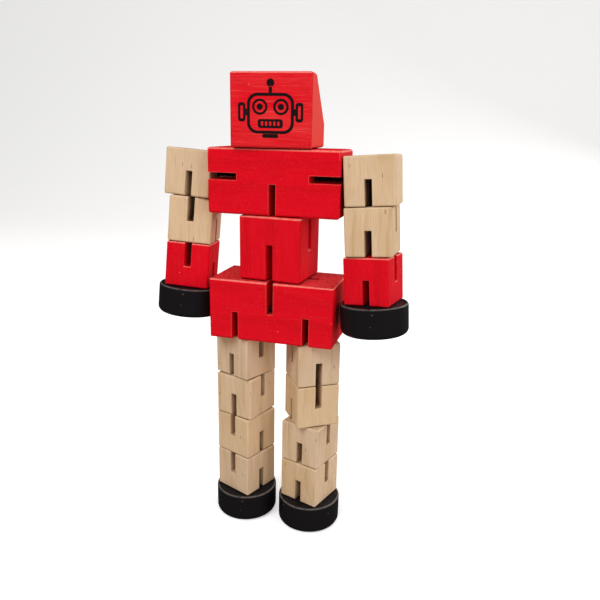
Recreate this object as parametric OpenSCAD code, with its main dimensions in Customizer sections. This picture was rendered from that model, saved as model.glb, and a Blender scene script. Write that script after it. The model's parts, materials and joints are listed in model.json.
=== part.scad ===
// Toy robot of wooden blocks threaded on elastic cord.
// Origin on the ground under the middle of the whole toy, front towards -Y, robot's left towards +X.

/* [Small blocks] */
// Width and depth of every small limb block
small_w = 18.5; // [17.5:0.1:18.8]
// Height of every leg block, along its cord
small_h = 18.5; // [17.5:0.1:20]
// Height of every arm block, along its cord
arm_h = 18.9; // [17.5:0.1:20]
// Width of the two shoulder blocks, which stand out a little more than the blocks below
shoulder_w = 20; // [18.5:0.1:20.5]
// Edge rounding of the small limb blocks
small_r = 0.8; // [0.4:0.1:1.4]

/* [Big blocks] */
// Chest width
chest_w = 54; // [50:0.5:60]
// Chest depth
chest_d = 22.5; // [20:0.5:26]
// Chest height
chest_h = 25.8; // [24:0.1:28]
// Rounding of the four corners seen on the chest's front
chest_r = 1.4; // [1:0.1:3]
// Waist width
waist_w = 26.2; // [24:0.1:28]
// Waist depth
waist_d = 23.5; // [22:0.5:26]
// Waist height
waist_h = 26; // [25:0.1:30]
// Pelvis width
pelvis_w = 52.8; // [50:0.1:53]
// Pelvis depth
pelvis_d = 26.9; // [25:0.1:30]
// Pelvis height
pelvis_h = 25.5; // [24:0.1:28]
// Edge rounding of chest, waist, pelvis and head
big_r = 1.2; // [0.6:0.1:2]

/* [Head] */
// Head width
head_w = 32; // [28:0.5:36]
// Head height
head_h = 27.4; // [24:0.2:30]
// Head depth at its lower part
head_d = 25; // [22:0.5:28]
// Head depth at its flat top
head_top_d = 6.4; // [5:0.2:10]
// Height at which the sloping back begins
head_back_h = 7.7; // [5:0.1:10]
// Height of the head above the chest
head_lift = 0.2; // [0.1:0.1:1.5]

/* [Discs] */
// Radius of the hand and foot discs
disc_r = 13.7; // [12:0.1:14]
// Thickness of the hand and foot discs
disc_t = 12.4; // [10:0.1:13]
// Rounding of a disc's outer edge
disc_edge_r = 2.2; // [1:0.1:3]
// Chamfer of a disc's inner edge
disc_chamfer = 0.6; // [0.3:0.1:1]
// Diameter of the recess that holds the cord's knot
recess_d = 7.6; // [6:0.2:9]
// Depth of that recess
recess_depth = 5.2; // [5:0.1:6]

/* [Cord and slots] */
// Diameter of the elastic cord
cord_d = 2.2; // [1.6:0.1:2.2]
// Width of every saw slot
slot_w = 2.8; // [2.6:0.1:3.2]
// Diameter of every drilled cord hole
bore_d = 3; // [2.6:0.1:3.4]
// Diameter of the knots at the cord ends
knot_d = 4.6; // [4:0.1:4.8]
// Depth of the saw slots in the small blocks
small_slot = 10.1; // [9.8:0.1:11]
// Depth of the two end slots and the bottom slot of the chest
chest_slot = 12.3; // [11:0.1:12.6]
// Height of the arm cord above the chest's underside
arm_cord_h = 14.7; // [14.2:0.1:15]
// Depth of the slot under the waist
waist_low_slot = 14.6; // [14:0.1:15]
// Depth of the slot on top of the waist
waist_top_slot = 13.9; // [13.6:0.1:15]
// Depth of the slot on top of the pelvis
pelvis_top_slot = 13.3; // [13:0.1:14]
// Depth of the two slots under the pelvis
pelvis_low_slot = 12; // [11:0.1:12.5]
// Depth of the blind groove across the pelvis's top
groove_depth = 6.6; // [6:0.1:7]
// Half length of that groove
groove_reach = 17.2; // [16.8:0.1:20]

/* [Pose] */
// How far behind the middle of the whole toy the trunk and legs stand, as the hands hang forwards
body_y = 2.1; // [0:0.1:6]
// Sideways distance from the middle to each leg's cord
leg_x = 15.1; // [14.2:0.1:16]
// Clearance between neighbouring blocks
gap = 0.2; // [0.1:0.05:0.4]
// How far the right and the left arm lean outwards, in degrees
arm_splay = [4, 4.4]; // [4:0.1:8]
// How far the right and the left arm lean forwards, in degrees
arm_lean = [3.5, 2.5]; // [0:0.5:10]
// How far back the right and the left arm sit in the chest's end slots
arm_back = [2.6, -1.6]; // [-3:0.1:3]
// How far the middle of each shoulder block hangs below the arm cord
arm_drop = 0.7; // [0:0.1:1.5]
// Sideways offset of the head block from the neck cord
head_x = -1; // [-2:0.1:2]
// Turn of the head, in degrees
head_turn = 3; // [-10:1:10]
// Turn of the waist, in degrees
waist_turn = -5; // [-8:1:8]
// Turns of the right leg's blocks, top to bottom, in degrees
right_leg_turns = [66, 73, -22, -23]; // [-180:1:180]
// Turns of the left leg's blocks, top to bottom, in degrees
left_leg_turns = [-57, 34, 73, 71]; // [-180:1:180]
// Turns of the right upper arm and forearm blocks, in degrees
right_arm_turns = [11, 10]; // [-180:1:180]
// Turns of the left upper arm and forearm blocks, in degrees
left_arm_turns = [87, 79]; // [-180:1:180]

/* [Hidden] */

$fn = 48;
RIGHT = -1;
LEFT = 1;
over = 1;
end_gap = 0.05;
pitch = small_h + gap;
arm_pitch = arm_h + gap;
leg_top = disc_t + 4 * pitch;
pelvis_z = leg_top + gap;
waist_z = pelvis_z + pelvis_h + gap;
chest_z = waist_z + waist_h + gap;
head_z = chest_z + chest_h + head_lift;
arm_cord_z = chest_z + arm_cord_h;
run_depth = 4.4;
neck_reach = 12;
tail_depth = 11.6;
tail_y = -9.5;
tail_knot_d = 2.5;
arm_blocks = 3;

RED = [0.72, 0.08, 0.06];
PINE = [0.83, 0.68, 0.47];
BLACK = [0.06, 0.06, 0.07];
CORD = [0.12, 0.12, 0.13];

// Rectangle with round corners, built from exact arcs.
module round_rect(w, h, r) {
    square([w - 2 * r, h], center = true);
    square([w, h - 2 * r], center = true);
    for (x = [-1, 1], y = [-1, 1])
        translate([x * (w / 2 - r), y * (h / 2 - r)]) circle(r);
}

// Puts a shape on the trunk's axis, at height z.
module trunk_axis(z) {
    translate([0, body_y, z]) children();
}

// Block with rounded edges, standing on z = 0 and centred on the Z axis.
// r rounds the upright and the left-right edges, front_r the corners seen from the front.
module soft_block(w, d, h, r, front_r) {
    translate([0, 0, h / 2])
        intersection() {
            linear_extrude(h + over, center = true) round_rect(w, d, r);
            rotate([90, 0, 0]) linear_extrude(d + over, center = true) round_rect(w, h, front_r);
            rotate([90, 0, 90]) linear_extrude(w + over, center = true) round_rect(d, h, r);
        }
}

// Saw slot that opens on the front and back, from z0 up to z0 + depth.
module front_slot(x, z0, depth, reach) {
    translate([x - slot_w / 2, -reach / 2, z0]) cube([slot_w, reach, depth]);
}

// Saw slot that opens on the left and right, from z0 up to z0 + depth.
module side_slot(z0, depth, reach) {
    translate([-reach / 2, -slot_w / 2, z0]) cube([reach, slot_w, depth]);
}

// Small limb block with its top at z = 0: the top slot opens on the front and back,
// the bottom slot on the two sides.
module small_block(h = small_h) {
    translate([0, 0, -h])
        difference() {
            soft_block(small_w, small_w, h, small_r, small_r);
            front_slot(0, h - small_slot, small_slot + over, small_w + over);
            side_slot(-over, small_slot + over, small_w + over);
        }
}

// Hand or foot disc with its inner face at z = 0 and its outer face downwards.
module disc() {
    translate([0, 0, -disc_t])
        difference() {
            rotate_extrude($fn = 96) {
                polygon([
                    [0, 0], [disc_r - disc_edge_r, 0], [disc_r - disc_edge_r, disc_edge_r],
                    [disc_r, disc_edge_r], [disc_r, disc_t - disc_chamfer],
                    [disc_r - disc_chamfer, disc_t], [0, disc_t],
                ]);
                translate([disc_r - disc_edge_r, disc_edge_r]) circle(disc_edge_r);
            }
            translate([0, 0, -over]) cylinder(d = bore_d, h = disc_t + 2 * over);
            translate([0, 0, -over]) cylinder(d = recess_d, h = recess_depth + over);
        }
}

// Upright cord from z0 up to z1.
module upright_cord(z0, z1) {
    translate([0, 0, z0]) cylinder(d = cord_d, h = z1 - z0, $fn = 24);
}

// Cord between the middle of one small block and the middle of the next one down.
// top is the height of the upper block's top, and h the height of both blocks.
module link_cord(top, h = small_h) {
    upright_cord(top - gap - 1.5 * h + end_gap, top - h / 2 - end_gap);
}

// Cord from the middle of a limb's last block into its disc, with the knot in the recess.
module end_cord(top, h = small_h) {
    knot_z = top - h - gap - disc_t + recess_depth - knot_d / 2 - end_gap;
    upright_cord(knot_z, top - h / 2 - end_gap);
    translate([0, 0, knot_z]) sphere(d = knot_d, $fn = 32);
}

// --- Trunk ---

module trunk_block(w, d, h, front_r) {
    soft_block(w, d, h, big_r, front_r);
}

module chest() {
    color(RED)
        trunk_axis(chest_z)
            difference() {
                trunk_block(chest_w, chest_d, chest_h, chest_r);
                front_slot(0, -over, chest_slot + over, chest_d + over);
                for (side = [LEFT, RIGHT])
                    translate([side * chest_w / 2, 0, arm_cord_h])
                        cube([2 * chest_slot, chest_d + over, slot_w], center = true);
                translate([0, 0, arm_cord_h]) rotate([0, 90, 0])
                    cylinder(d = bore_d, h = chest_w - chest_slot, center = true);
                translate([0, 0, chest_slot - over]) cylinder(d = bore_d, h = chest_h);
            }
}

module waist() {
    color(RED)
        trunk_axis(waist_z)
            rotate(waist_turn) difference() {
                trunk_block(waist_w, waist_d, waist_h, big_r);
                front_slot(0, -over, waist_low_slot + over, waist_d + over);
                side_slot(waist_h - waist_top_slot, waist_top_slot + over, waist_w + over);
            }
}

module pelvis() {
    bore_z = pelvis_low_slot - over;
    color(RED)
        trunk_axis(pelvis_z)
            difference() {
                trunk_block(pelvis_w, pelvis_d, pelvis_h, big_r);
                front_slot(0, pelvis_h - pelvis_top_slot, pelvis_top_slot + over, pelvis_d + over);
                side_slot(pelvis_h - groove_depth, groove_depth + over, 2 * groove_reach);
                for (side = [LEFT, RIGHT]) {
                    front_slot(side * leg_x, -over, pelvis_low_slot + over, pelvis_d + over);
                    translate([side * leg_x, 0, bore_z])
                        cylinder(d = bore_d, h = pelvis_h - groove_depth - bore_z + over);
                }
            }
}

// Side outline of the head: upright front, flat top, back sloping out and then upright.
module head_outline() {
    front = -head_d / 2;
    c = big_r / 2;
    polygon([
        [front + c, 0], [head_d / 2 - c, 0], [head_d / 2, c],
        [head_d / 2, head_back_h - c], [head_d / 2 - c / 2, head_back_h + c],
        [front + head_top_d + c / 2, head_h - c], [front + head_top_d - c, head_h],
        [front + c, head_h], [front, head_h - c], [front, c],
    ]);
}

module head() {
    color(RED)
        trunk_axis(head_z)
            rotate(head_turn)
                difference() {
                    translate([head_x, 0, 0]) intersection() {
                        rotate([90, 0, 90]) linear_extrude(head_w, center = true) head_outline();
                        trunk_block(head_w, head_d, head_h, big_r);
                    }
                    translate([0, 0, -over]) cylinder(d = bore_d, h = neck_reach + 2 * over);
                }
}

module neck_cord() {
    color(CORD)
        trunk_axis(0) upright_cord(arm_cord_z + cord_d / 2 + end_gap, head_z + neck_reach);
}

module chest_cord() {
    start = waist_z + waist_h / 2 + end_gap;
    color(CORD) trunk_axis(0) upright_cord(start, chest_z + chest_slot - 2 * end_gap);
}

module lumbar_cord() {
    top_of_run = pelvis_z + pelvis_h - run_depth + cord_d / 2;
    start = top_of_run + 2 * end_gap;
    color(CORD) trunk_axis(0) upright_cord(start, waist_z + waist_h / 2 - end_gap);
}

// Straight run of the arm cord through the chest, between the two end slots.
module arm_cord_middle() {
    run = chest_w - 2 * chest_slot;
    color(CORD)
        trunk_axis(arm_cord_z) rotate([0, 90, 0])
            cylinder(d = cord_d, h = run, center = true, $fn = 24);
}

// The leg cord where it crosses the pelvis in the groove and turns down at both ends.
module leg_cord_middle() {
    run_z = pelvis_z + pelvis_h - run_depth;
    color(CORD)
        trunk_axis(0) {
            translate([0, 0, run_z]) rotate([0, 90, 0])
                cylinder(d = cord_d, h = 2 * leg_x, center = true, $fn = 24);
            for (side = [LEFT, RIGHT])
                translate([side * leg_x, 0, 0]) {
                    translate([0, 0, run_z]) sphere(d = cord_d, $fn = 24);
                    upright_cord(pelvis_z + pelvis_low_slot, run_z);
                }
        }
}

// Free end of the spine cord, knotted at the bottom of the pelvis's top slot.
module spine_cord_tail() {
    start_y = -cord_d;
    run = start_y - tail_y;
    color(CORD)
        trunk_axis(pelvis_z + pelvis_h - tail_depth) {
            translate([0, tail_y, 0]) sphere(d = tail_knot_d, $fn = 24);
            translate([0, start_y, 0]) rotate([90, 0, 0])
                cylinder(d = cord_d - 0.4, h = run, $fn = 24);
        }
}

// --- Arms ---

// Place of a side's value in the lists that hold one for the right arm and one for the left.
function nth(side) = side == RIGHT ? 0 : 1;

// Puts a shape on a side's arm cord, where it leaves the chest.
module arm_cord_axis(side) {
    trunk_axis(arm_cord_z) translate([0, arm_back[nth(side)], 0]) children();
}

// Places a shape given in the arm's own frame: origin on the top inner edge of the shoulder
// block, arm hanging towards -Z, outer side towards side * X.
module arm_frame(side) {
    arm_cord_axis(side)
        rotate([-arm_lean[nth(side)], 0, 0])
            translate([side * (chest_w / 2 + gap), 0, arm_h / 2 - arm_drop])
                rotate([0, -side * arm_splay[nth(side)], 0]) children();
}

// Same frame moved onto the arm's cord.
module arm_axis(side) {
    arm_frame(side) translate([side * small_w / 2, 0, 0]) children();
}

// Elbow-shaped cord path: one slot opens towards the chest, the other downwards.
module shoulder_block(side) {
    slot_reach = small_w / 2 + slot_w / 2;
    color(PINE)
        arm_axis(side)
            difference() {
                translate([side * (shoulder_w - small_w) / 2, 0, -arm_h])
                    soft_block(shoulder_w, small_w, arm_h, small_r, small_r);
                translate([-side * (small_w / 2 + over) + side * (slot_reach + over) / 2, 0,
                           -arm_h / 2])
                    cube([slot_reach + over, slot_w, arm_h + 2 * over], center = true);
                front_slot(0, -arm_h - over, small_slot + over, small_w + over);
            }
}

module arm_block(side, level, turn, paint) {
    color(paint)
        arm_axis(side) translate([0, 0, -level * arm_pitch]) rotate(turn) small_block(arm_h);
}

module hand_disc(side) {
    color(BLACK) arm_axis(side) translate([0, 0, -arm_blocks * arm_pitch]) disc();
}

// Level cord from the chest's end slot to the upright cord in the shoulder block.
module shoulder_cord(side) {
    start = chest_w / 2 - chest_slot + end_gap;
    finish = chest_w / 2 + gap + small_w / 2 - cord_d / 2 + 0.3;
    color(CORD)
        arm_cord_axis(side) translate([side * (start + finish) / 2, 0, 0]) rotate([0, 90, 0])
            cylinder(d = cord_d, h = finish - start, center = true, $fn = 24);
}

module upper_arm_cord(side) {
    top = small_slot - arm_h - 2 * end_gap;
    color(CORD) arm_axis(side) upright_cord(-arm_pitch - arm_h / 2 + end_gap, top);
}

module elbow_cord(side) {
    color(CORD) arm_axis(side) link_cord(-arm_pitch, arm_h);
}

module wrist_cord(side) {
    color(CORD) arm_axis(side) end_cord(-2 * arm_pitch, arm_h);
}

// --- Legs ---

// Places a shape on a leg's cord with z = 0 at the top of the leg.
module leg_axis(side) {
    trunk_axis(leg_top) translate([side * leg_x, 0, 0]) children();
}

module leg_block(side, level, turn) {
    color(PINE)
        leg_axis(side) translate([0, 0, -level * pitch]) rotate(turn) small_block();
}

module foot_disc(side) {
    color(BLACK) leg_axis(side) translate([0, 0, -4 * pitch]) disc();
}

module hip_cord(side) {
    top = gap + pelvis_low_slot - 2 * end_gap;
    color(CORD) leg_axis(side) upright_cord(-small_h / 2 + end_gap, top);
}

module leg_link_cord(side, level) {
    color(CORD) leg_axis(side) link_cord(-level * pitch);
}

module ankle_cord(side) {
    color(CORD) leg_axis(side) end_cord(-3 * pitch);
}

head();
chest();
waist();
pelvis();
shoulder_block(RIGHT);  // right_shoulder_block
arm_block(RIGHT, 1, right_arm_turns[0], PINE);  // right_upper_arm_block
arm_block(RIGHT, 2, right_arm_turns[1], RED);  // right_forearm_block
hand_disc(RIGHT);  // right_hand_disc
shoulder_block(LEFT);  // left_shoulder_block
arm_block(LEFT, 1, left_arm_turns[0], PINE);  // left_upper_arm_block
arm_block(LEFT, 2, left_arm_turns[1], RED);  // left_forearm_block
hand_disc(LEFT);  // left_hand_disc
leg_block(RIGHT, 0, right_leg_turns[0]);  // right_hip_block
leg_block(RIGHT, 1, right_leg_turns[1]);  // right_thigh_block
leg_block(RIGHT, 2, right_leg_turns[2]);  // right_shin_block
leg_block(RIGHT, 3, right_leg_turns[3]);  // right_ankle_block
foot_disc(RIGHT);  // right_foot_disc
leg_block(LEFT, 0, left_leg_turns[0]);  // left_hip_block
leg_block(LEFT, 1, left_leg_turns[1]);  // left_thigh_block
leg_block(LEFT, 2, left_leg_turns[2]);  // left_shin_block
leg_block(LEFT, 3, left_leg_turns[3]);  // left_ankle_block
foot_disc(LEFT);  // left_foot_disc
neck_cord();
chest_cord();
lumbar_cord();
arm_cord_middle();
leg_cord_middle();
spine_cord_tail();
shoulder_cord(RIGHT);  // right_shoulder_cord
upper_arm_cord(RIGHT);  // right_upper_arm_cord
elbow_cord(RIGHT);  // right_elbow_cord
wrist_cord(RIGHT);  // right_wrist_cord
shoulder_cord(LEFT);  // left_shoulder_cord
upper_arm_cord(LEFT);  // left_upper_arm_cord
elbow_cord(LEFT);  // left_elbow_cord
wrist_cord(LEFT);  // left_wrist_cord
hip_cord(RIGHT);  // right_hip_cord
leg_link_cord(RIGHT, 0);  // right_thigh_cord
leg_link_cord(RIGHT, 1);  // right_knee_cord
leg_link_cord(RIGHT, 2);  // right_shin_cord
ankle_cord(RIGHT);  // right_ankle_cord
hip_cord(LEFT);  // left_hip_cord
leg_link_cord(LEFT, 0);  // left_thigh_cord
leg_link_cord(LEFT, 1);  // left_knee_cord
leg_link_cord(LEFT, 2);  // left_shin_cord
ankle_cord(LEFT);  // left_ankle_cord
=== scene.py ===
"""Looks of a wooden block robot toy on elastic cord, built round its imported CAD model."""

import json
import math
import random

import bpy
from mathutils import Matrix, Vector

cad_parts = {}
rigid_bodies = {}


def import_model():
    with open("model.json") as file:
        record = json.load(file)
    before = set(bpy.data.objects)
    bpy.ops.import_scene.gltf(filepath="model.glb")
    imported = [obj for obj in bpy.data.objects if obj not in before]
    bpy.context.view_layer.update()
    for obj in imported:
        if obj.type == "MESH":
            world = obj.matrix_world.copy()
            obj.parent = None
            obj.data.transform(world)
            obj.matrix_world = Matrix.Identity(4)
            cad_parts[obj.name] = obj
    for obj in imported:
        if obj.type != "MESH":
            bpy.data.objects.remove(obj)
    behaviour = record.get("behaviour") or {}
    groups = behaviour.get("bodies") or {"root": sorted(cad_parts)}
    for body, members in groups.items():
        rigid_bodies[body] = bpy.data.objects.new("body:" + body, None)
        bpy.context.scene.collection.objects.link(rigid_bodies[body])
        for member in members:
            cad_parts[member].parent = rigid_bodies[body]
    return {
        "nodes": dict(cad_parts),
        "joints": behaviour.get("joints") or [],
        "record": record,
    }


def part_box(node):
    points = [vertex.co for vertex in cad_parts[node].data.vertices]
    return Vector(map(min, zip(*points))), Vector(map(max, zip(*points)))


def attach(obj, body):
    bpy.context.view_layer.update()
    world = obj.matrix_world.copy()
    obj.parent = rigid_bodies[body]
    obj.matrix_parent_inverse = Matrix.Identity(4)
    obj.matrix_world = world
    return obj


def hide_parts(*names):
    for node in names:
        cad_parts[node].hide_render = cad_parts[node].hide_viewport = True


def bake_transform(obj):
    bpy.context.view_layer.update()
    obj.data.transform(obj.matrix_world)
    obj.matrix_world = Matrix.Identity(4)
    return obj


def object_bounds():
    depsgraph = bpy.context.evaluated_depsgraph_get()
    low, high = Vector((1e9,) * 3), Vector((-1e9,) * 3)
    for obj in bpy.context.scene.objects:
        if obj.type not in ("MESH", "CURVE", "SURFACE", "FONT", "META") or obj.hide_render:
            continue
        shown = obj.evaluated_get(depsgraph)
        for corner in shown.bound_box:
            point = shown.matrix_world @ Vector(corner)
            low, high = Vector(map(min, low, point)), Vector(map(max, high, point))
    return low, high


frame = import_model()
frame_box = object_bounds()

MM = 0.001
NODES = frame["nodes"]
RECORD = frame["record"]
JOINTS = frame["joints"]
BODIES = RECORD["behaviour"]["bodies"]
SLOT_OF = {part["node"]: part["material_slot"] for part in RECORD["subparts"]}

# Each block's grain is drawn from its own seed.
FIRST_SEED, SEED_STEP = 27, 7

# Width of the softened edges, in mm.
EDGE_ROUNDING = {"head": 0.9, "chest": 0.5, "waist": 0.5, "pelvis": 0.5}
OTHER_EDGE_ROUNDING = 0.3

# How the red blocks differ: the way the grain runs, light streaks, and thinned paint with a
# painted sheen on the end grain (0 to 1).
RED_BLOCKS_GRAIN_ACROSS = ("head", "chest", "pelvis")
RED_STREAKS = {"head": 0.8, "chest": 0.06}
OTHER_RED_STREAKS = 0.12
RED_FADE_AND_END_SHEEN = {"head": 0.55}

# Slant of the sanding scratches in the red paint, in radians.
SANDING_SLANT = (-0.44, 0.25, 0)

# Colours are linear red, green and blue.
WOOD = {
    "patch": (0.62, 0.41, 0.215),
    "thread": (0.43, 0.26, 0.12),
    "fleck": (0.20, 0.09, 0.035),
    "end": (0.50, 0.34, 0.20),
    "end_pore": (0.36, 0.22, 0.11),
    "grime": (0.40, 0.25, 0.13),
    # paler edges: partly sanded wood, partly a painted highlight on the rounded edges
    "sanded_and_highlight": (0.86, 0.69, 0.53),
    # painted shade inside slots and in tight corners
    "slot": (0.10, 0.05, 0.025),
}
RED = {
    "full": (0.80, 0.0018, 0.0150),
    "deep": (0.60, 0.0016, 0.009),
    "light": (0.86, 0.045, 0.048),
    "streak": (0.88, 0.10, 0.085),
    # painted sheen on the end grain of a thinned block, the head's sides
    "painted_end_sheen": (0.88, 0.15, 0.085),
    "worn": (0.86, 0.17, 0.12),
    # painted highlight on the edges that face up
    "painted_edge_highlight": (0.93, 0.34, 0.27),
    "bare": (0.80, 0.50, 0.30),
    "flaked": (0.86, 0.13, 0.12),
    "pit": (0.30, 0.001, 0.006),
    # painted shade inside slots and in tight corners
    "slot": (0.06, 0.0006, 0.002),
}
BLACK = {
    "full": (0.0096, 0.0086, 0.0104),
    "light": (0.021, 0.019, 0.020),
    "worn": (0.16, 0.14, 0.13),
    # painted highlight along the top rim
    "rim": (0.20, 0.175, 0.16),
    "nick": (0.35, 0.29, 0.24),
}
ELASTIC = {
    # painted shade in the grooves of the braid
    "gap": (0.007, 0.006, 0.007),
    "crown": (0.026, 0.024, 0.026),
    "thread": (0.03, 0.028, 0.03),
}
INK = {
    "full": (0.010, 0.008, 0.009),
    "thin": (0.10, 0.012, 0.014),
}
PAPER = {
    "seen": (0.93, 0.93, 0.93),
    "seen_patch": (0.90, 0.90, 0.905),
    "reflected": (0.10, 0.10, 0.10),
    "lighting": (0.50, 0.43, 0.33),
}

CORD_RADIUS = 1.1 * MM
TAIL_RADIUS = 0.8 * MM

# The face is drawn in mm, then stretched and raised on the head by these.
FACE_STRETCH_X, FACE_STRETCH_Z, FACE_RISE = 1.1, 1.07, 0.5
INK_HALF_THICKNESS = 0.03 * MM


def link(obj):
    bpy.context.scene.collection.objects.link(obj)
    return obj


# --- Material nodes -----------------------------------------------------------------------

class Tree:
    """Builds one material. Every call adds nodes and returns an output socket."""

    def __init__(self, name):
        self.material = bpy.data.materials.new(name)
        self.material.use_nodes = True
        self.tree = self.material.node_tree
        self.tree.nodes.clear()

    def put(self, socket, value):
        if isinstance(value, bpy.types.NodeSocket):
            self.tree.links.new(value, socket)
        elif socket.type == "RGBA" and len(value) == 3:
            socket.default_value = (*value, 1)
        else:
            socket.default_value = value

    def add(self, kind, inputs=None, output=0, **settings):
        node = self.tree.nodes.new("ShaderNode" + kind)
        for key, value in settings.items():
            setattr(node, key, value)
        for key, value in (inputs or {}).items():
            self.put(node.inputs[key], value)
        return node.outputs[output]

    def math(self, operation, a, b=0.0, clamp=False):
        return self.add("Math", {0: a, 1: b}, operation=operation, use_clamp=clamp)

    def plus(self, a, b, clamp=False):
        return self.math("ADD", a, b, clamp)

    def times(self, a, b):
        return self.math("MULTIPLY", a, b)

    def inverse(self, value):
        return self.math("SUBTRACT", 1.0, value)

    def vector_math(self, operation, a, b=(0, 0, 0), output="Vector"):
        return self.add("VectorMath", {0: a, 1: b}, output, operation=operation)

    def stretch(self, vector, x, y, z):
        return self.vector_math("MULTIPLY", vector, (x, y, z))

    def noise(self, vector, scale=1.0, detail=3.0, roughness=0.55):
        inputs = {"Vector": vector, "Scale": scale, "Detail": detail, "Roughness": roughness}
        return self.add("TexNoise", inputs)

    def cells(self, vector, scale=1.0):
        """Distance to the nearest of scattered points, and that point's own random shade."""
        distance = self.add("TexVoronoi", {"Vector": vector, "Scale": scale}, "Distance")
        shade = self.add("SeparateColor", {0: distance.node.outputs["Color"]}, "Red")
        return distance, shade

    def dots(self, vector, scale, radius, threshold):
        """1 in small round dots, 0 elsewhere; only a shade above the threshold has a dot."""
        distance, shade = self.cells(vector, scale)
        inside = self.math("LESS_THAN", distance, radius)
        return self.times(inside, self.math("GREATER_THAN", shade, threshold))

    def ramp(self, value, stops):
        """Grey ramp; stops are (place, grey) pairs."""
        node = self.tree.nodes.new("ShaderNodeValToRGB")
        self.put(node.inputs[0], value)
        elements = node.color_ramp.elements
        while len(elements) < len(stops):
            elements.new(0.5)
        for element, (place, grey) in zip(elements, stops):
            element.position = place
            element.color = (grey, grey, grey, 1)
        return node.outputs["Color"]

    def step(self, value, low, high):
        """0 at low, 1 at high and smooth between them; low may be the larger one."""
        inputs = {"Value": value, "From Min": low, "From Max": high}
        return self.add("MapRange", inputs, interpolation_type="SMOOTHSTEP")

    def mix(self, factor, a, b):
        node = self.tree.nodes.new("ShaderNodeMix")
        node.data_type = "RGBA"
        factor_input, a_input, b_input, result = 0, 6, 7, 2
        self.put(node.inputs[factor_input], factor)
        self.put(node.inputs[a_input], a)
        self.put(node.inputs[b_input], b)
        return node.outputs[result]

    def coat(self, colour, over, mask, amount):
        """The colour with another one over it, amount strong where the mask is 1."""
        return self.mix(self.times(mask, amount), colour, over)

    def surface(self, inputs, heights):
        """Principled surface with stacked bumps; heights are (height, depth in mm) pairs."""
        normal = None
        for height, depth in heights:
            bump = {"Height": height, "Distance": depth * MM, "Strength": 1.0}
            if normal is not None:
                bump["Normal"] = normal
            normal = self.add("Bump", bump)
        shader = self.add("BsdfPrincipled", {**inputs, "Normal": normal})
        output = self.tree.nodes.new("ShaderNodeOutputMaterial")
        self.tree.links.new(shader, output.inputs["Surface"])
        return self.material

    def edges(self, radius):
        """0 on flat faces, rising towards 1 on edges; radius in mm."""
        rounded = self.add("Bevel", {"Radius": radius * MM}, samples=6)
        normal = self.add("NewGeometry", output="Normal")
        return self.inverse(self.vector_math("DOT_PRODUCT", rounded, normal, "Value"))

    def crevice_shade(self, reach):
        """Painted shade: 1 deep inside slots and in tight corners, 0 on open faces; reach in mm.
        """
        open_share = self.add("AmbientOcclusion", {"Distance": reach * MM}, "AO", samples=6)
        return self.inverse(self.step(open_share, 0.08, 0.42))


class Block:
    """Where a block stands: its centre, its size and its own axes, read from its mesh."""

    def __init__(self, node):
        mesh = NODES[node].data
        areas = {}
        for polygon in mesh.polygons:
            key = tuple(round(c, 2) for c in polygon.normal)
            areas[key] = areas.get(key, 0) + polygon.area
        # The flat sides have far more area than any face of a bore or a rounded edge.
        largest = [Vector(n) for n in sorted(areas, key=areas.get, reverse=True)[:10]]
        self.up = max(largest[:8], key=lambda n: n.z).normalized()
        sides = [n for n in largest if abs(n.dot(self.up)) < 0.05]
        facing = max(sides, key=lambda n: -n.y)
        self.back = -(facing - self.up * facing.dot(self.up)).normalized()
        self.right = self.back.cross(self.up)
        axes = Matrix((self.right, self.back, self.up))
        local = [axes @ v.co for v in mesh.vertices]
        low = Vector(min(p[i] for p in local) for i in range(3))
        high = Vector(max(p[i] for p in local) for i in range(3))
        self.size = high - low
        self.centre = axes.transposed() @ ((low + high) / 2)

    def matrix(self, grain="up"):
        """Local axes as columns, with the grain along local Z."""
        columns = {"up": (self.right, self.back, self.up),
                   "right": (self.back, self.up, self.right)}[grain]
        rotation = Matrix(columns).transposed()
        return Matrix.LocRotScale(self.centre, rotation.to_quaternion(), None)


# The patterns below take a point in the block's own millimetres, with the grain along Z.
# Their scales are per millimetre, and small along Z, because grain is long and narrow.

def random_shift(draw):
    """Moves the pattern, so that no two blocks are cut from the same wood."""
    return [draw.uniform(-90, 90) for _ in range(3)]


def block_point(t, place, shift):
    """The point in the block's own millimetres with the grain along Z, and it moved by shift."""
    inputs = {"Vector": t.add("TexCoord", output="Object"), "Location": place.to_translation(),
              "Rotation": place.to_euler(), "Scale": (MM, MM, MM)}
    local = t.add("Mapping", inputs, vector_type="TEXTURE")
    return local, t.vector_math("ADD", local, shift)


def end_grain(t, place):
    """1 on the faces that the grain runs into, 0 on the others."""
    grain = place.to_3x3() @ Vector((0, 0, 1))
    along = t.vector_math("DOT_PRODUCT", t.add("TexCoord", output="Normal"), grain, "Value")
    return t.step(t.math("ABSOLUTE", along), 0.75, 0.95)


def growth_rings(t, point, draw, ring_width):
    """0 in the pale early wood and 1 in the dark late wood of each ring."""
    pith = (draw.uniform(9, 26), draw.choice((-1, 1)) * draw.uniform(8, 22), 0)
    tilt = draw.uniform(-0.05, 0.05)
    away = t.vector_math("SUBTRACT", point, pith)
    slanted = t.add("Mapping", {"Vector": away, "Rotation": (tilt, tilt * 0.7, 0)})
    radius = t.vector_math("LENGTH", t.stretch(slanted, 1, 1, 0.03), output="Value")
    bend = t.noise(t.stretch(point, 0.05, 0.05, 0.022), detail=2.0)
    radius = t.plus(radius, t.times(bend, 9.0))
    uneven = t.noise(t.stretch(point, 0.9, 0.9, 0.12), detail=2.0)
    phase = t.plus(t.math("DIVIDE", radius, ring_width), t.times(uneven, 0.35))
    return t.ramp(t.math("FRACT", phase), [(0, 0.0), (0.5, 0.12), (0.86, 1.0), (1.0, 0.0)])


def wood_fibres(t, point):
    return t.noise(t.stretch(point, 4.5, 4.5, 0.16), detail=5.0, roughness=0.62)


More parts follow.
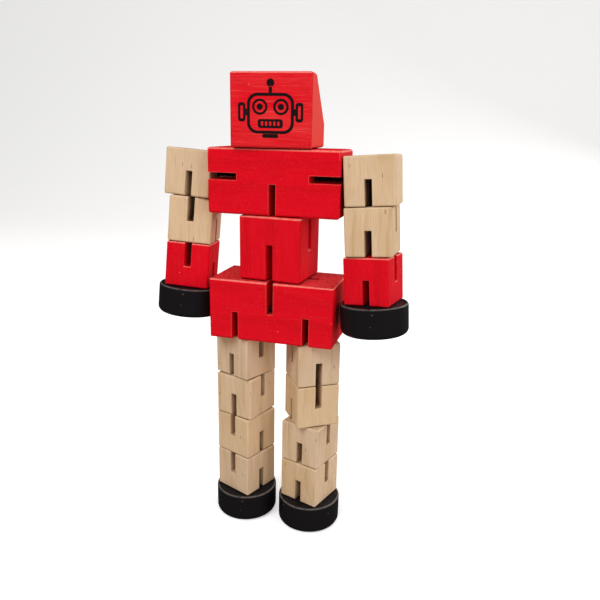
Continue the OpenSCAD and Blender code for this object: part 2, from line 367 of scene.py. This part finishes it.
def dark_flecks(t, point):
    """1 in a few short dark lines along the grain, 0 elsewhere."""
    distance, shade = t.cells(t.stretch(point, 0.75, 0.75, 0.13))
    near = t.inverse(t.step(distance, 0.05, 0.17))
    return t.times(t.step(shade, 0.72, 0.78), near)


def natural_wood(name, place, seed):
    """Clear sanded light wood: pale fibres, faint rings, brown flecks, browner end grain, paler
    edges partly painted as highlight, and painted shade in slots.
    """
    draw = random.Random(seed)
    t = Tree(name)
    local, point = block_point(t, place, random_shift(draw))
    rings = growth_rings(t, point, draw, draw.uniform(2.1, 3.6))
    fibres = wood_fibres(t, point)
    flecks = dark_flecks(t, point)
    patch = t.noise(t.stretch(point, 0.11, 0.11, 0.03), detail=1.0)
    threads = t.noise(t.stretch(point, 0.9, 0.9, 0.035), detail=4.0, roughness=0.7)
    pores = t.noise(t.stretch(point, 6.0, 6.0, 2.0), detail=2.0)
    edge = t.edges(0.5)

    warm = draw.uniform(-1, 1)
    pale = (0.775 + 0.02 * warm, 0.58, 0.42 - 0.045 * warm)
    tan = (0.54, 0.355 - 0.015 * warm, 0.175)
    streak = t.times(t.step(fibres, 0.33, 0.72), 0.36)
    band = t.times(rings, draw.uniform(0.3, 0.55))
    darker = t.plus(streak, t.times(band, t.step(patch, 0.25, 0.75)), clamp=True)
    colour = t.mix(darker, pale, tan)
    colour = t.coat(colour, WOOD["patch"], t.step(patch, 0.42, 0.7), 0.4)
    colour = t.coat(colour, WOOD["thread"], t.step(threads, 0.56, 0.70), 0.36)
    colour = t.coat(colour, WOOD["fleck"], flecks, 0.85)
    end_shade = t.coat(WOOD["end"], WOOD["end_pore"], t.step(pores, 0.45, 0.7), 0.5)
    colour = t.coat(colour, end_shade, end_grain(t, place), 0.6)
    grime = t.times(t.step(edge, 0.02, 0.2), t.step(t.noise(local, 0.7), 0.4, 0.7))
    colour = t.coat(colour, WOOD["grime"], grime, 0.10)
    # Paler edges: partly sanded wood, partly a painted highlight on the rounded edges.
    colour = t.coat(colour, WOOD["sanded_and_highlight"], t.step(edge, 0.03, 0.2), 0.45)
    # Painted shade inside the slots and in tight corners, dark brown.
    colour = t.coat(colour, WOOD["slot"], t.crevice_shade(5.0), 0.75)

    inputs = {"Base Color": colour, "Roughness": t.plus(0.56, t.times(fibres, 0.18)),
              "Specular IOR Level": 0.3}
    heights = [(fibres, 0.055), (t.inverse(flecks), 0.03), (pores, 0.02), (rings, 0.012)]
    return t.surface(inputs, heights)


def red_paint(name, place, seed, streaks, fade_and_end_sheen, rough_top):
    """Translucent red over wood: grain bands, light streaks, worn edges, a few nicks, and
    painted light: end-grain sheen, upper-edge highlight, shade in slots.
    """
    draw = random.Random(seed)
    t = Tree(name)
    local, point = block_point(t, place, random_shift(draw))
    rings = growth_rings(t, point, draw, draw.uniform(9.0, 13.0))
    fibres = wood_fibres(t, point)
    ends = end_grain(t, place)
    edge = t.edges(0.6)
    patchy = t.step(t.noise(local, 0.9, detail=4.0), 0.2, 0.6)

    # Grain showing through the paint.
    thin = t.step(t.noise(t.stretch(point, 0.10, 0.10, 0.03), detail=2.0), 0.3, 0.7)
    colour = t.coat(RED["full"], RED["light"], thin, fade_and_end_sheen)
    colour = t.coat(colour, RED["deep"], rings, 0.45)
    mottle = t.noise(t.stretch(point, 0.25, 0.25, 0.09))
    colour = t.coat(colour, RED["deep"], t.step(mottle, 0.4, 0.8), 0.35)
    grit = t.noise(local, 1.7, detail=4.0, roughness=0.75)
    colour = t.coat(colour, RED["deep"], t.step(grit, 0.5, 0.72), 0.22)
    colour = t.coat(colour, RED["light"], t.step(grit, 0.48, 0.3), 0.16)
    long_streaks = t.noise(t.stretch(point, 2.6, 2.6, 0.075), detail=4.0, roughness=0.6)
    colour = t.coat(colour, RED["streak"], t.step(long_streaks, 0.52, 0.74), streaks)
    slanted = t.add("Mapping", {"Vector": local, "Rotation": SANDING_SLANT})
    scratches = t.noise(t.stretch(slanted, 5.0, 5.0, 0.09), detail=2.0)
    colour = t.coat(colour, RED["light"], t.step(scratches, 0.54, 0.70), 0.4)
    # End grain: deeper red, and on a thinned block a paler orange that paints the sheen on those
    # faces.
    end_colour = t.mix(fade_and_end_sheen, RED["deep"], RED["painted_end_sheen"])
    colour = t.coat(colour, end_colour, ends, 0.35 + 0.45 * fade_and_end_sheen)

    # Wear: rubbed edges, chips and nicks; and a painted highlight along the upper edges.
    rub = t.times(t.step(edge, 0.015, 0.14), patchy)
    colour = t.coat(colour, RED["worn"], rub, 0.65)
    up = t.add("SeparateXYZ", {0: t.add("TexCoord", output="Normal")}, "Z")
    # Painted highlight on the edges that face up, stronger in patches.
    upper_edge = t.times(t.step(up, 0.2, 0.5), t.step(up, 0.98, 0.86))
    painted_edge_highlight = t.times(upper_edge, t.plus(0.2, t.times(patchy, 0.45)))
    colour = t.mix(painted_edge_highlight, colour, RED["painted_edge_highlight"])
    chips = t.times(t.step(edge, 0.05, 0.2), t.step(t.noise(local, 1.6), 0.66, 0.72))
    nicks = t.math("MAXIMUM", chips, t.dots(local, 0.32, 0.055, 0.72))
    colour = t.coat(colour, RED["bare"], nicks, 0.7)

    crumbs = t.noise(t.stretch(point, 2.4, 2.4, 1.1), detail=5.0, roughness=0.7)
    crumb_depth = 0.04
    if rough_top:
        top = t.step(up, 0.8, 0.95)
        colour = t.coat(colour, RED["flaked"], t.times(t.step(crumbs, 0.46, 0.62), top), 0.8)
        colour = t.mix(t.times(t.step(crumbs, 0.44, 0.34), top), colour, RED["pit"])
        crumbs = t.times(crumbs, t.plus(top, 0.05))
        crumb_depth = 0.59

    # Painted shade inside the slots and in tight corners, nearly black.
    colour = t.coat(colour, RED["slot"], t.crevice_shade(3.0), 0.85)
    roughness = t.plus(t.plus(0.40, t.times(fibres, 0.16)), t.times(ends, 0.14))
    inputs = {"Base Color": colour, "Roughness": roughness, "Specular IOR Level": 0.07}
    heights = [(fibres, 0.05), (long_streaks, 0.04), (rings, 0.02), (t.inverse(nicks), 0.06),
               (crumbs, crumb_depth)]
    return t.surface(inputs, heights)


def black_paint(name, place, seed, size):
    """Satin black paint on a turned disc: faint grain, rubbed edges, a painted highlight along
    the top rim and pale nicks.
    """
    draw = random.Random(seed)
    t = Tree(name)
    local, point = block_point(t, place, random_shift(draw))
    rings = growth_rings(t, point, draw, 2.4)
    fibres = wood_fibres(t, point)
    edge = t.edges(0.5)
    patchy = t.step(t.noise(local, 0.5, detail=4.0), 0.2, 0.6)

    pebble = t.noise(point, 2.6, detail=4.0, roughness=0.6)
    colour = t.coat(BLACK["full"], BLACK["light"], t.step(pebble, 0.5, 0.8), 0.5)
    rub = t.times(t.step(edge, 0.03, 0.2), patchy)
    colour = t.coat(colour, BLACK["worn"], rub, 0.8)

    # The disc's own axis is local Y here, because the grain runs across the disc.
    radius, half_height = size.x / 2 / MM, size.z / 2 / MM
    height = t.add("SeparateXYZ", {0: local}, "Y")
    out = t.vector_math("LENGTH", t.stretch(local, 1, 0, 1), output="Value")
    # Painted highlight along the top rim, broken up in patches.
    rim = t.times(t.step(out, radius - 0.9, radius - 0.6),
                  t.step(height, half_height - 0.6, half_height - 0.3))
    rim_highlight = t.times(rim, t.plus(0.12, t.times(patchy, 0.45)))
    colour = t.mix(rim_highlight, colour, BLACK["rim"])
    nicks = t.dots(local, 0.30, 0.07, 0.6)
    colour = t.coat(colour, BLACK["nick"], nicks, 0.5)

    inputs = {"Base Color": colour, "Roughness": t.plus(0.34, t.times(pebble, 0.22)),
              "Specular IOR Level": 0.12}
    heights = [(pebble, 0.05), (fibres, 0.03), (rings, 0.01), (t.inverse(nicks), 0.05)]
    return t.surface(inputs, heights)


def braided_elastic():
    """Dull woven cover of the elastic cord, with painted shade in the grooves between the crowns
    of the braid.
    """
    t = Tree("braided_elastic")
    inputs = {0: t.add("TexCoord", output="Object"), "Scale": 1 / MM}
    point = t.add("VectorMath", inputs, operation="SCALE")
    threads = t.noise(t.stretch(point, 9, 9, 9), detail=2.0)
    fuzz = t.noise(t.stretch(point, 22, 22, 22), detail=2.0)
    # Painted shade in the grooves between the strands; the crowns keep the cord's dark grey.
    crown = t.step(t.add("NewGeometry", output="Pointiness"), 0.47, 0.53)
    colour = t.mix(crown, ELASTIC["gap"], ELASTIC["crown"])
    colour = t.coat(colour, ELASTIC["thread"], threads, 0.5)
    inputs = {"Base Color": colour, "Roughness": t.plus(0.7, t.times(fuzz, 0.2)),
              "Specular IOR Level": 0.05}
    return t.surface(inputs, [(threads, 0.05), (fuzz, 0.02)])


def printed_ink(place):
    """Black ink stamped on grain: it thins to dark red where the wood is open."""
    t = Tree("printed_ink")
    local, point = block_point(t, place, (3, 8, 1))
    open_grain = t.noise(t.stretch(point, 3.6, 3.6, 0.22), detail=4.0)
    blotch = t.noise(local, 1.1)
    thin = t.times(t.step(open_grain, 0.56, 0.74), t.step(blotch, 0.35, 0.6))
    colour = t.coat(INK["full"], INK["thin"], thin, 0.5)
    inputs = {"Base Color": colour, "Roughness": t.plus(0.5, t.times(open_grain, 0.2)),
              "Specular IOR Level": 0.25}
    return t.surface(inputs, [(open_grain, 0.03)])


# --- Blocks and discs ---------------------------------------------------------------------

def soften(obj, width):
    """Breaks the sharp saw-cut edges without touching the CAD mesh itself; width in mm."""
    mesh = obj.data
    for name in ("custom_normal", "sharp_edge", "sharp_face"):
        if name in mesh.attributes:
            mesh.attributes.remove(mesh.attributes[name])
    mesh.shade_smooth()
    weld = obj.modifiers.new("weld", "WELD")
    weld.merge_threshold = 0.0005 * MM
    flatten = obj.modifiers.new("flatten", "DECIMATE")
    flatten.decimate_type = "DISSOLVE"
    flatten.angle_limit = math.radians(1.0)
    bevel = obj.modifiers.new("bevel", "BEVEL")
    bevel.width = width * MM
    bevel.segments = 2
    bevel.limit_method = "ANGLE"
    bevel.angle_limit = math.radians(38)
    bevel.use_clamp_overlap = True
    normals = obj.modifiers.new("normals", "WEIGHTED_NORMAL")
    normals.weight = 60
    normals.keep_sharp = False


def paint(obj, material):
    obj.data.materials.clear()
    obj.data.materials.append(material)


def finish_of(node, seed):
    """The material of one block or disc."""
    block = Block(node)
    name = "finish_" + node
    if SLOT_OF[node] == "natural_wood":
        return natural_wood(name, block.matrix(), seed)
    if SLOT_OF[node] == "black_paint":
        return black_paint(name, block.matrix("right"), seed, block.size)
    grain = "right" if node in RED_BLOCKS_GRAIN_ACROSS else "up"
    streaks = RED_STREAKS.get(node, OTHER_RED_STREAKS)
    return red_paint(name, block.matrix(grain), seed, streaks, RED_FADE_AND_END_SHEEN.get(node, 0.0),
                     rough_top=node == "pelvis")


def dress_blocks():
    blocks = [node for node in sorted(NODES) if SLOT_OF[node] != "elastic_cord"]
    for number, node in enumerate(blocks):
        paint(NODES[node], finish_of(node, FIRST_SEED + SEED_STEP * number))
        soften(NODES[node], EDGE_ROUNDING.get(node, OTHER_EDGE_ROUNDING))


# --- Elastic cord -------------------------------------------------------------------------

def smooth_path(points, step=0.25 * MM, rounds=24):
    """Evenly spaced points along a polyline, with its corners eased in each round."""
    dense = []
    for a, b in zip(points, points[1:]):
        count = max(1, round((b - a).length / step))
        dense += [a.lerp(b, i / count) for i in range(count)]
    dense.append(points[-1].copy())
    for _ in range(rounds):
        eased = [(p + 2 * q + r) / 4 for p, q, r in zip(dense, dense[1:], dense[2:])]
        dense = [dense[0], *eased, dense[-1]]
    return dense


def braided_tube(name, path, radius):
    """Round cord with a diamond braid standing out of it, and blunt rounded ends."""
    around, strands, lay, relief = 32, 8, 2.2 * MM, 0.07
    dome_steps, flat_share = 4, 0.35
    vertices, faces = [], []
    normal = (path[1] - path[0]).orthogonal().normalized()
    travelled = 0.0
    last = len(path) - 1
    for i, point in enumerate(path):
        forward = (path[min(i + 1, last)] - path[max(i - 1, 0)]).normalized()
        normal = (normal - forward * normal.dot(forward)).normalized()
        side = forward.cross(normal)
        if i:
            travelled += (point - path[i - 1]).length
        from_end = min(1.0, min(i, last - i) / dome_steps)
        dome = min(1.0, math.sqrt(1 - (1 - from_end) ** 2) + flat_share)
        twist = 2 * math.pi * travelled / lay
        for k in range(around):
            turn = 2 * math.pi * k / around
            weave = max(math.cos(strands * turn / 2 + twist),
                        math.cos(strands * turn / 2 - twist))
            r = radius * dome * (1 - relief + relief * weave)
            vertices.append(point + (normal * math.cos(turn) + side * math.sin(turn)) * r)
    for i in range(last):
        for k in range(around):
            a, b = i * around + k, i * around + (k + 1) % around
            faces.append((a, b, b + around, a + around))
    faces.append(tuple(reversed(range(around))))
    faces.append(tuple(range(last * around, (last + 1) * around)))
    mesh = bpy.data.meshes.new(name)
    mesh.from_pydata([tuple(v) for v in vertices], [], faces)
    mesh.shade_smooth()
    return link(bpy.data.objects.new(name, mesh))


def coiled_knot(centre, down, coil=1.15 * MM, rise=2.3 * MM, turns=1.6):
    """Path of a tight coil round the cord's axis."""
    side = down.orthogonal().normalized()
    other = down.cross(side)
    points = []
    steps = 26
    for i in range(steps + 1):
        share = i / steps
        turn = 2 * math.pi * turns * share
        out = coil * min(1.0, 3 * share)
        along = rise * (share - 0.5)
        points.append(centre + (side * math.cos(turn) + other * math.sin(turn)) * out
                      + down * along)
    return points


def cord_ends(node, on_axis, axis):
    """The two ends of a straight CAD cord on the given line."""
    along = [(v.co - on_axis).dot(axis) for v in NODES[node].data.vertices]
    return on_axis + axis * min(along), on_axis + axis * max(along)


def node_centre(node):
    low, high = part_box(node)
    return (low + high) / 2


def add_cord(node, path, elastic, radius=CORD_RADIUS):
    """A braided cord along the path, in place of the plain CAD cord."""
    cord = braided_tube(node + "_elastic", path, radius)
    paint(cord, elastic)
    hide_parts(node)
    return cord


def linking_cords(elastic):
    """The cords between blocks, each straight from the end next to the block that it folds on;
    wrist and ankle cords end in a coiled knot.
    """
    for body, members in BODIES.items():
        if len(members) != 1 or SLOT_OF[members[0]] != "elastic_cord":
            continue
        node = members[0]
        above = next(j for j in JOINTS if j["child"] == body)
        below = next(j for j in JOINTS if j["parent"] == body)
        # One of a cord's two joints turns about its own axis, and the other one folds.
        turns_first = above["name"].endswith(("_turn", "_swing"))
        line = above if turns_first else below
        folded = below["child"] if turns_first else above["parent"]
        pivot = Vector(line["pos_m"])
        ends = cord_ends(node, pivot, Vector(line["axis"]).normalized())
        folded_centre = node_centre(BODIES[folded][0])
        start, finish = sorted(ends, key=lambda p: (p - folded_centre).length)
        path, rounds = [start, finish], 0
        if node.endswith(("wrist_cord", "ankle_cord")):
            down = (finish - start).normalized()
            knot = finish - down * 2.3 * MM
            path, rounds = [start, knot - down * 1.9 * MM, *coiled_knot(knot, down)], 5
        cord = add_cord(node, smooth_path(path, rounds=rounds), elastic)
        if turns_first:
            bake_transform(cord)
        else:
            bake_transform(cord)


def fixed_cords(elastic):
    """The cords that stay still inside the chest and the pelvis."""
    for node in ("neck_cord", "arm_cord_middle"):
        low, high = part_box(node)
        middle = (low + high) / 2
        reach = (high - low) / 2
        longest = max(range(3), key=lambda i: reach[i])
        half = Vector([reach[i] if i == longest else 0 for i in range(3)])
        path = smooth_path([middle - half, middle + half], rounds=0)
        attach(add_cord(node, path, elastic), "chest")

    low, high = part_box("leg_cord_middle")
    y = (low.y + high.y) / 2
    left, right = low.x + CORD_RADIUS, high.x - CORD_RADIUS
    bottom, top = low.z, high.z - CORD_RADIUS
    corners = [Vector((left, y, bottom)), Vector((left, y, top)),
               Vector((right, y, top)), Vector((right, y, bottom))]
    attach(add_cord("leg_cord_middle", smooth_path(corners), elastic), "pelvis")

    low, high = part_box("spine_cord_tail")
    middle = (low + high) / 2
    knot = Vector((middle.x, low.y + 1.3 * MM, middle.z))
    path = [Vector((middle.x, high.y, middle.z)), knot + Vector((0, 1.4 * MM, 0))]
    path += coiled_knot(knot, Vector((0, -1, 0)), coil=0.45 * MM, rise=1.2 * MM)
    tail = add_cord("spine_cord_tail", smooth_path(path, rounds=4), elastic, TAIL_RADIUS)
    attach(tail, "pelvis")


# --- Face print ---------------------------------------------------------------------------

def ring_points(cx, cz, width, height, corner, count=8):
    """Rounded rectangle, or a circle when corner is half of both sides."""
    points = []
    for sx, sz, start in ((1, 1, 0), (-1, 1, 90), (-1, -1, 180), (1, -1, 270)):
        ox, oz = cx + sx * (width / 2 - corner), cz + sz * (height / 2 - corner)
        for i in range(count + 1):
            turn = math.radians(start + 90 * i / count)
            points.append((ox + corner * math.cos(turn), oz + corner * math.sin(turn)))
    return points


def circle_points(cx, cz, radius):
    return ring_points(cx, cz, 2 * radius, 2 * radius, radius, 7)


def face_loops():
    """Closed loops of a plain, generic robot face, in mm; inner loops are holes."""
    line = 1.0
    shell_w, shell_h, shell_z = 16.4, 13.6, -1.6
    eye_x, eye_z = 3.7, 0.6
    ear_x, ear_joint_x, ear_z = 10.1, 8.55, -1.2
    mouth_w, mouth_h, mouth_z, bars = 8.8, 3.0, -5.0, 5
    cell = (mouth_w - 1.6) / bars

    loops = [ring_points(0, shell_z, shell_w, shell_h, 3.6),
             ring_points(0, shell_z, shell_w - 2 * line, shell_h - 2 * line, 2.7)]
    for side in (-1, 1):
        loops += [circle_points(side * eye_x, eye_z, radius) for radius in (2.7, 1.9, 1.05)]
        loops += [ring_points(side * ear_x, ear_z, 2.6, 6.4, 0.9),
                  ring_points(side * ear_x, ear_z, 1.0, 4.4, 0.4),
                  ring_points(side * ear_joint_x, ear_z, 0.62, 2.2, 0.1)]
    loops.append(ring_points(0, mouth_z, mouth_w, mouth_h, 0.9))
    for i in range(bars):
        x = (i - (bars - 1) / 2) * cell
        loops.append(ring_points(x, mouth_z, cell - 0.62, mouth_h - 1.5, 0.25))
    aerial = [ring_points(0, 6.35, 1.1, 2.2, 0.1), circle_points(0, 8.5, 1.35)]
    chin = ring_points(0, -9.15, 5.6, 1.3, 0.5)
    return [*loops, *aerial, chin]


def face_print():
    """The face as a film of ink on the head's front."""
    head = Block("head")
    curve = bpy.data.curves.new("face_print", "CURVE")
    curve.dimensions = "2D"
    curve.fill_mode = "BOTH"
    curve.extrude = INK_HALF_THICKNESS
    for loop in face_loops():
        spline = curve.splines.new("POLY")
        spline.points.add(len(loop) - 1)
        for control, (x, z) in zip(spline.points, loop):
            right, up = FACE_STRETCH_X * x * MM, (FACE_STRETCH_Z * z + FACE_RISE) * MM
            control.co = (right, up, 0, 1)
        spline.use_cyclic_u = True
    drawn = link(bpy.data.objects.new("face_drawing", curve))
    bpy.context.view_layer.update()
    mesh = bpy.data.meshes.new_from_object(drawn)
    bpy.data.objects.remove(drawn)
    front = head.centre - head.back * head.size.y / 2
    axes = Matrix((head.right, head.up, -head.back)).transposed()
    mesh.transform(Matrix.LocRotScale(front, axes.to_quaternion(), None))
    mesh.name = "face_print"
    obj = link(bpy.data.objects.new("face_print", mesh))
    paint(obj, printed_ink(head.matrix("right")))
    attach(obj, "head")


# --- Studio -------------------------------------------------------------------------------

def pale_paper():
    """Nearly white to the camera, and dimmer to other rays, so that the toy keeps its colour."""
    t = Tree("pale_paper")
    point = t.add("TexCoord", output="Object")
    tooth = t.noise(point, 900.0, detail=2.0)
    shown = t.mix(t.noise(point, 3.0), PAPER["seen"], PAPER["seen_patch"])
    by_camera = t.add("LightPath", output="Is Camera Ray")
    as_light = t.add("LightPath", output="Is Diffuse Ray")
    colour = t.mix(by_camera, t.mix(as_light, PAPER["reflected"], PAPER["lighting"]), shown)
    inputs = {"Base Color": colour, "Roughness": 0.95, "Specular IOR Level": 0.0,
              "Emission Color": (1, 1, 1), "Emission Strength": t.times(by_camera, 0.42)}
    return t.surface(inputs, [(tooth, 0.05)])


def backdrop():
    """Pale floor that sweeps up behind the toy; lengths in metres."""
    half, near, far, bend, top = 2.5, -2.5, 1.6, 0.9, 2.6
    steps = 16
    profile = [(near, 0.0), (far - bend, 0.0)]
    for i in range(1, steps + 1):
        turn = math.radians(90 * i / steps)
        profile.append((far - bend + bend * math.sin(turn), bend - bend * math.cos(turn)))
    profile.append((far, top))
    vertices = [(x, y, z) for y, z in profile for x in (-half, half)]
    faces = [(2 * i, 2 * i + 1, 2 * i + 3, 2 * i + 2) for i in range(len(profile) - 1)]
    mesh = bpy.data.meshes.new("backdrop")
    mesh.from_pydata(vertices, [], faces)
    mesh.shade_smooth()
    obj = link(bpy.data.objects.new("backdrop", mesh))
    paint(obj, pale_paper())


def soft_light(name, place, target, size, power, colour=(1, 1, 1), glossy=False):
    """Square lamp; place, target and size in metres."""
    light = bpy.data.lights.new(name, "AREA")
    light.shape = "SQUARE"
    light.size = size
    light.energy = power
    light.color = colour
    obj = link(bpy.data.objects.new(name, light))
    obj.visible_glossy = glossy
    obj.location = place
    obj.rotation_euler = (Vector(target) - Vector(place)).to_track_quat("-Z", "Y").to_euler()


def studio():
    """Soft key light from the front left, a weaker fill, a rim light and pale surroundings."""
    low, high = frame_box
    aim = (0, 0, (low.z + high.z) / 2)
    soft_light("key", (-0.28, -0.66, 0.95), aim, 0.6, 7.6, (1.0, 0.985, 0.96))
    soft_light("fill", (0.90, -0.50, 0.40), aim, 0.8, 4.2)
    soft_light("rim", (0.60, 0.70, 0.55), aim, 0.6, 6.0, glossy=True)

    # Full brightness to the camera, and much less light on the toy.
    ambient, extra_diffuse = 0.06, 0.28
    world = bpy.data.worlds.new("studio")
    world.use_nodes = True
    nodes, links = world.node_tree.nodes, world.node_tree.links
    background = nodes["Background"]
    background.inputs["Color"].default_value = (0.97, 0.98, 1.0, 1)
    path = nodes.new("ShaderNodeLightPath")
    lit = nodes.new("ShaderNodeMath")
    lit.operation = "MULTIPLY_ADD"
    links.new(path.outputs["Is Diffuse Ray"], lit.inputs[0])
    lit.inputs[1].default_value, lit.inputs[2].default_value = extra_diffuse, ambient
    strength = nodes.new("ShaderNodeMath")
    strength.operation = "MAXIMUM"
    links.new(path.outputs["Is Camera Ray"], strength.inputs[0])
    links.new(lit.outputs[0], strength.inputs[1])
    links.new(strength.outputs[0], background.inputs["Strength"])
    bpy.context.scene.world = world
    bpy.context.scene.view_settings.view_transform = "Standard"


def camera():
    """Stands a little to the robot's left and above it, looking down at its middle."""
    place = Vector((74.4, -234.0, 172.7)) * MM
    yaw, pitch, roll = -0.27, 0.2763, 0.0199
    forward = Vector((math.sin(yaw) * math.cos(pitch), math.cos(yaw) * math.cos(pitch),
                      -math.sin(pitch)))
    level = Vector((math.cos(yaw), -math.sin(yaw), 0))
    upright = level.cross(forward)
    right = level * math.cos(roll) + upright * math.sin(roll)
    up = upright * math.cos(roll) - level * math.sin(roll)
    lens = bpy.data.cameras.new("camera")
    lens.sensor_width = 36.0
    lens.lens = 36.33
    lens.clip_start = 0.01
    obj = link(bpy.data.objects.new("camera", lens))
    axes = Matrix((right, up, -forward)).transposed()
    obj.matrix_world = Matrix.LocRotScale(place, axes.to_quaternion(), None)
    bpy.context.scene.camera = obj


dress_blocks()
elastic_cover = braided_elastic()
linking_cords(elastic_cover)
fixed_cords(elastic_cover)
face_print()
backdrop()
studio()
camera()
